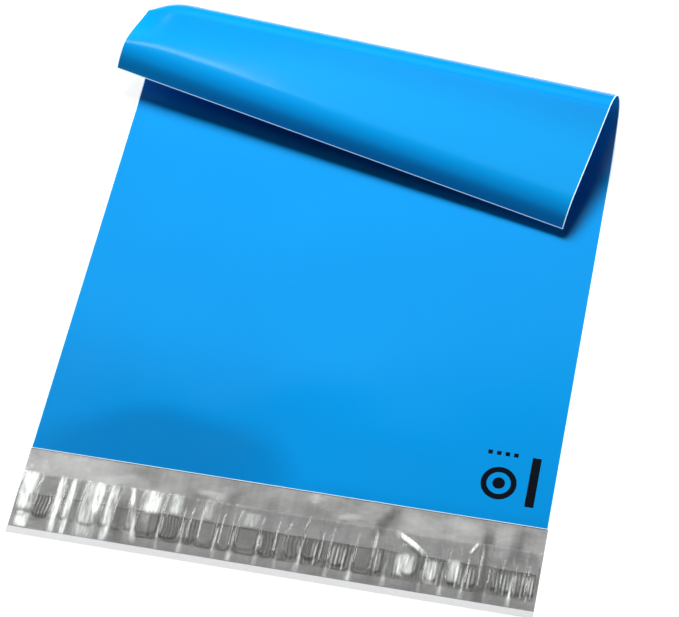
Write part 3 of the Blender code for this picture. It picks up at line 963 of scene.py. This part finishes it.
def clear_film(name, tint, haze, haze_and_painted_light_colour, shine, relief, broken, glow=0.0):
    """See-through plastic. Haze and broken, which breaks its marks up, are each a low and a high value."""
    material, tree, shader = new_finish(name)
    place = web_place(tree)[2]
    nodes = tree.nodes
    clear = nodes.new("ShaderNodeBsdfTransparent")
    marks = mesh_marks(tree)
    past_lip = sums(tree, "MULTIPLY", marks, -1.0, clamp=True)
    tree.links.new(blended(tree, past_lip, tint, OVERHANG_TINT), clear.inputs["Color"])
    mirror = nodes.new("ShaderNodeBsdfGlossy")
    mirror.inputs["Color"].default_value = (1.0, 1.0, 1.0, 1.0)
    mirror.inputs["Roughness"].default_value = shine
    shader.inputs["Base Color"].default_value = (*haze_and_painted_light_colour, 1.0)
    shader.inputs["Roughness"].default_value = 0.5
    bump = raised(tree, shader, mottle(tree, place, 0.004, 0.006, detail=3.0), relief, 0.5)
    tree.links.new(bump, mirror.inputs["Normal"])
    fresnel = nodes.new("ShaderNodeFresnel")
    fresnel.inputs["IOR"].default_value = FILM_IOR
    tree.links.new(bump, fresnel.inputs["Normal"])
    body = nodes.new("ShaderNodeMixShader")
    cloudy = between(tree, mottle(tree, place, 0.010, 0.016, detail=4.0), *haze)
    patchy = between(tree, mottle(tree, place, 0.0022, 0.012, detail=3.0), *broken)
    marked = sums(tree, "MULTIPLY", sums(tree, "MAXIMUM", marks, 0.0), patchy, clamp=True)
    # A painted glow where the liner's marks paint highlights, though the film is no lamp.
    shader.inputs["Emission Color"].default_value = GLINT_GLOW
    tree.links.new(sums(tree, "MULTIPLY", marked, glow), shader.inputs["Emission Strength"])
    cloudy = sums(tree, "ADD", cloudy, marked, clamp=True)
    tree.links.new(cloudy, body.inputs["Fac"])
    tree.links.new(clear.outputs[0], body.inputs[1])
    tree.links.new(shader.outputs[0], body.inputs[2])
    whole = nodes.new("ShaderNodeMixShader")
    tree.links.new(sums(tree, "MINIMUM", fresnel.outputs[0], MIRROR_LIMIT), whole.inputs["Fac"])
    tree.links.new(body.outputs[0], whole.inputs[1])
    tree.links.new(mirror.outputs[0], whole.inputs[2])
    tree.links.new(whole.outputs[0], nodes["Material Output"].inputs["Surface"])
    return material


glue_finish = clear_film(
    "hot_melt_clear",
    tint=(0.99, 0.992, 0.982),
    haze=(0.0, 0.05),
    # The glue's dark haze colour is also the colour of its painted shade.
    haze_and_painted_light_colour=(0.14, 0.145, 0.122),
    shine=0.22,
    relief=0.0003,
    broken=(0.2, 1.8),
)
liner_finish = clear_film(
    "liner_clear",
    tint=(0.957, 0.957, 0.957),
    haze=(0.02, 0.09),
    haze_and_painted_light_colour=(0.94, 0.96, 0.94),
    shine=0.24,
    relief=0.0002,
    broken=(-0.55, 2.3),
    glow=0.34,
)
print("clear finishes: %d nodes each" % len(liner_finish.node_tree.nodes))

# %% [markdown]
# The band goes on first. It stays a little short of the bag's sides, so that it never shows at the edge.
# Its points lie half a millimetre apart, because marks can't be finer than the mesh that carries them.

# %% Make the glue band
FINE_COLUMN, FINE_ROW = 0.5 * MM, 0.6 * MM
glue_half = HALF - GLUE_END_MARGIN
glue_slab = lay_slab(
    spread(-glue_half, glue_half, FINE_COLUMN),
    spread(GLUE_FOOT, GLUE_TOP, FINE_ROW),
    GLUE_REST,
    GLUE_THICKNESS,
    lambda across, along: np.zeros(across.shape),
    glue_painted_shade,
)
glue_band = glue_slab.finished("hot_melt_band", [glue_finish])
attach(glue_band, "root")
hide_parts("adhesive_strip")

# %% [markdown]
# The liner covers the band from side to side and stands out past the lip's edge, where one takes hold of
# it.

# %% Make the liner
LINER_COLUMN = 0.55 * MM
liner_slab = lay_slab(
    spread(-HALF, HALF, LINER_COLUMN),
    spread(-LIP - LINER_OVERHANG, LINER_TOP, FINE_ROW),
    LINER_REST,
    LINER,
    liner_rise,
    silver_and_glint_marks,
)
release_liner = liner_slab.finished("puffed_liner", [liner_finish])
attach(release_liner, "root")
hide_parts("release_liner")

# %% [markdown]
# The bag lies on a plain pale floor, a sheet of white acrylic lit softly from below, which keeps shadows on
# it faint. A floor that only takes light would need so much of it that the blue film would bleach.

# %% Floor
FLOOR_SIZE, FLOOR_DROP = 6.0, 0.2 * MM
floor_mesh = bpy.data.meshes.new("pale_floor")
floor_mesh.from_pydata(
    [(x * FLOOR_SIZE / 2, y * FLOOR_SIZE / 2, -FLOOR_DROP) for x, y in ((-1, -1), (1, -1), (1, 1), (-1, 1))],
    [],
    [(0, 1, 2, 3)],
)
floor = bpy.data.objects.new("pale_floor", floor_mesh)
bpy.context.scene.collection.objects.link(floor)
floor_finish, _, floor_shader = new_finish("pale_floor")
for name, value in (
    ("Base Color", (0.30, 0.30, 0.30, 1.0)),
    ("Emission Color", (1.0, 1.0, 1.0, 1.0)),
    ("Emission Strength", 0.90),
    ("Roughness", 0.8),
    ("Specular IOR Level", 0.2),
):
    floor_shader.inputs[name].default_value = value
floor_mesh.materials.append(floor_finish)
print("floor: %.0f m square, %.1f mm under the bag" % (FLOOR_SIZE, FLOOR_DROP / MM))

# %% [markdown]
# The main lamp is a softbox behind the bag: it leaves the curl's front in shade and draws the shadow under
# the free edge. Flat film would mirror it straight into the camera and lose its blue, so its mirror image
# is taken away, as a polariser on the lamp does. A small lamp high at the left gives the curl its
# highlight. Two wide dim cards are mirrored by the film and light nothing: one gives the front panel its
# faint sheen, which ends in a soft line, and one gives the flap its own. Two long strips are there for the
# gloss of the lip: each runs along the arc that the flanks of the liner's tunnels mirror, so that every
# flank carries a bright streak.

# %% Light
LIT_PLACE = Vector((0.0, 0.24, 0.0))
LIP_PLACE = Vector((0.0, -0.03, 0.0))


def softbox(name, azimuth, elevation, distance, size, power, aim=LIT_PLACE, roll=0):
    """A rectangular lamp that looks at a place. Azimuth is clockwise from the far side, in degrees."""
    a, e = math.radians(azimuth), math.radians(elevation)
    lamp = bpy.data.lights.new(name, "AREA")
    lamp.shape = "RECTANGLE"
    lamp.size, lamp.size_y = size
    lamp.energy = power
    way = Vector((math.sin(a) * math.cos(e), math.cos(a) * math.cos(e), math.sin(e)))
    holder = bpy.data.objects.new(name, lamp)
    holder.location = aim + way * distance
    rolled = way.to_track_quat("Z", "Y").to_matrix() @ Euler((0, 0, math.radians(roll))).to_matrix()
    holder.rotation_euler = rolled.to_euler()
    bpy.context.scene.collection.objects.link(holder)
    return holder


key = softbox("main_softbox", -6, 59, 0.95, (0.36, 0.36), 13.7)
key.visible_glossy = False
key.data.cycles.use_multiple_importance_sampling = False
softbox("curl_lamp", -91, 64, 1.28, (0.15, 0.30), 0.7)
front_card = softbox("front_card", -12, 55, 0.95, (0.9, 0.5), 0.36)
flap_card = softbox("flap_card", 0, 92, 1.2, (0.7, 0.5), 0.40)
left_strip = softbox("left_strip", -60, 35.5, 1.1, (0.20, 0.50), 1.5, aim=LIP_PLACE, roll=25)
right_strip = softbox("right_strip", 51, 50, 1.1, (0.16, 0.45), 0.6, aim=LIP_PLACE, roll=-31)
mirrored_only = (front_card, flap_card, left_strip, right_strip)
for lamp in mirrored_only:
    lamp.visible_diffuse = False
print("main lamp: %.1f W, lamps that are only mirrored: %d" % (key.data.energy, len(mirrored_only)))

# %% [markdown]
# The room gives next to no light, so that the shade in the roll stays deep. Colours are shown as they are,
# with no film-like curve, because the blue has to come out as it was measured.

# %% Room
ROOM_LIGHT = 0.035
room = bpy.data.worlds.new("pale_room")
room.use_nodes = True
background = room.node_tree.nodes["Background"]
background.inputs["Color"].default_value = (1.0, 1.0, 1.0, 1.0)
background.inputs["Strength"].default_value = ROOM_LIGHT
bpy.context.scene.world = room
bpy.context.scene.view_settings.view_transform = "Standard"
print("room light: %.3f" % ROOM_LIGHT)

# %% [markdown]
# The camera looks down from the front, a little from the right, with a long lens. Its place was found from
# the bag's own corners: they must land on the corners in the photograph.

# %% Camera
AIM = Vector((0.0064, 0.1232, 0.0))
AZIMUTH, ELEVATION, TILT = math.radians(17.59), math.radians(58.69), math.radians(6.86)
DISTANCE, LENS, SENSOR = 1.3707, 120.99, 36.0
toward = Vector(
    (-math.sin(AZIMUTH) * math.cos(ELEVATION), math.cos(AZIMUTH) * math.cos(ELEVATION), -math.sin(ELEVATION))
)
lens = bpy.data.cameras.new("camera")
lens.sensor_width = SENSOR
lens.lens = LENS
camera = bpy.data.objects.new("camera", lens)
camera.location = AIM - toward * DISTANCE
level = toward.to_track_quat("-Z", "Y").to_matrix()
camera.rotation_euler = (level @ Euler((0, 0, -TILT)).to_matrix()).to_euler()
bpy.context.scene.collection.objects.link(camera)
bpy.context.scene.camera = camera
print("camera %.2f m away, %.1f degrees up, %.0f mm lens" % (DISTANCE, math.degrees(ELEVATION), LENS))
